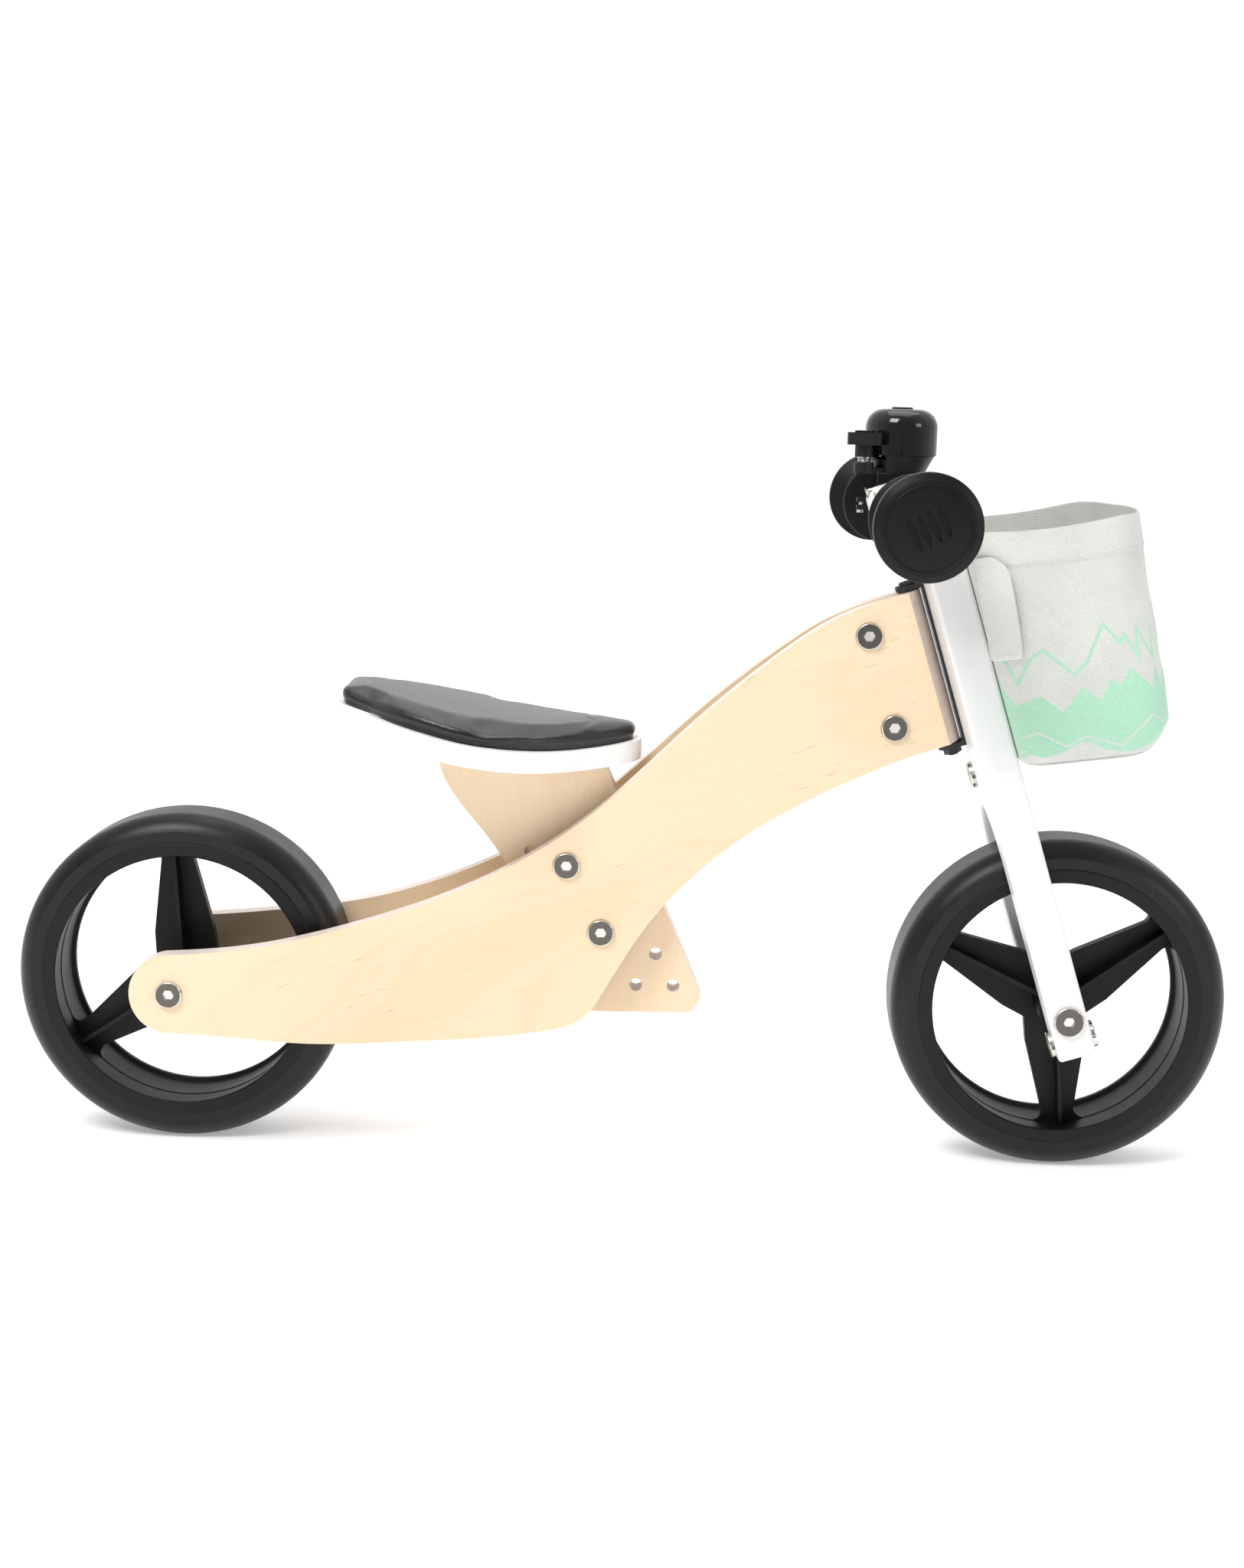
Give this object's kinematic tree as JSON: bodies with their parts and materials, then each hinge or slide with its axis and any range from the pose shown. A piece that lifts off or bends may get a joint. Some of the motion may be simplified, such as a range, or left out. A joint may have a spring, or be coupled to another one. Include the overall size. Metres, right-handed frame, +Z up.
{
  "type": "balance bike",
  "caption": "Wooden toddler balance bike: bent ply frame, padded saddle, turning fork, two spoked wheels, handlebar with bell and fabric basket.",
  "frame": {"origin": "on the ground, midway between the wheel centres, in the bike's middle plane", "axes": "+X forward, +Y the rider's left, +Z up"},
  "size_m": [0.781, 0.37, 0.4834],
  "materials": {
    "birch_ply": "clear satin varnish over rotary-cut birch face veneer, pale laminated edges",
    "white_paint": "white satin paint on wood",
    "beech": "clear varnished beech",
    "leatherette": "glossy fine-grained black leatherette",
    "wheel_plastic": "matte black moulded plastic",
    "foam_tyre": "satin black foam rubber",
    "grip_rubber": "soft black rubber, satin",
    "bolt_steel": "nickel plated, bright",
    "black_steel": "black powder coat, satin",
    "bell_paint": "gloss black enamel",
    "bell_plastic": "black moulded plastic",
    "bag_fabric": "coarse woven light grey polyester with a mint green mountain print",
    "spacer_plastic": "black nylon"
  },
  "bodies": {
    "frame": {"head_block": "birch_ply", "head_bolts": "bolt_steel", "head_nuts": "bolt_steel", "plate_bolts": "bolt_steel", "plate_nuts": "bolt_steel", "plate_spacers": "spacer_plastic", "rear_axle": "bolt_steel", "rear_axle_nut": "bolt_steel", "rear_spacers": "spacer_plastic", "seat_board": "white_paint", "seat_pad": "leatherette", "seat_plate": "birch_ply", "seat_screws": "bolt_steel", "side_board_left": "birch_ply", "side_board_right": "birch_ply", "steering_sleeve": "spacer_plastic", "steering_washers": "spacer_plastic"},
    "steering": {"fork": "white_paint", "fork_cross_bolts": "bolt_steel", "fork_cross_nuts": "bolt_steel", "steering_bracket": "black_steel", "bracket_screws": "black_steel", "steering_pin": "black_steel", "steering_nut": "black_steel", "handlebar": "beech", "handlebar_clamp": "white_paint", "clamp_screws": "bolt_steel", "grip_left": "grip_rubber", "grip_right": "grip_rubber", "front_axle": "bolt_steel", "front_axle_nut": "bolt_steel", "front_spacers": "spacer_plastic", "bell_base": "bell_plastic", "bell_band": "bell_plastic", "bell_band_screws": "bolt_steel", "bell_dome": "bell_paint", "bell_cap_screw": "bell_plastic", "bell_pin": "bolt_steel", "bell_spring": "bolt_steel", "basket_bag": "bag_fabric", "basket_straps": "bag_fabric"},
    "rear_wheel": {"rear_wheel": "wheel_plastic", "rear_tyre": "foam_tyre", "rear_bushes": "spacer_plastic"},
    "front_wheel": {"front_wheel": "wheel_plastic", "front_tyre": "foam_tyre", "front_bushes": "spacer_plastic"},
    "bell_lever": {"bell_lever": "bell_plastic", "bell_hammer": "bolt_steel"}
  },
  "joints": [
    {"name": "steering_turn", "type": "hinge", "parent": "frame", "child": "steering", "pos_m": [0.263, 0, 0.10108], "axis": [-0.3057, 0, 0.9521], "range_deg": [-35, 35]},
    {"name": "rear_wheel_spin", "type": "hinge", "parent": "frame", "child": "rear_wheel", "pos_m": [-0.283, 0, 0.1075], "axis": [0, 1, 0], "continuous": true},
    {"name": "front_wheel_spin", "type": "hinge", "parent": "steering", "child": "front_wheel", "pos_m": [0.283, 0, 0.1075], "axis": [0, 1, 0], "continuous": true},
    {"name": "bell_lever_press", "type": "hinge", "parent": "steering", "child": "bell_lever", "pos_m": [0.14953, 0.0595, 0.45221], "axis": [0, 0, 1], "range_deg": [-30, 0], "stiffness_Nm_per_rad": 0.02, "springref_deg": 5.73}
  ]
}
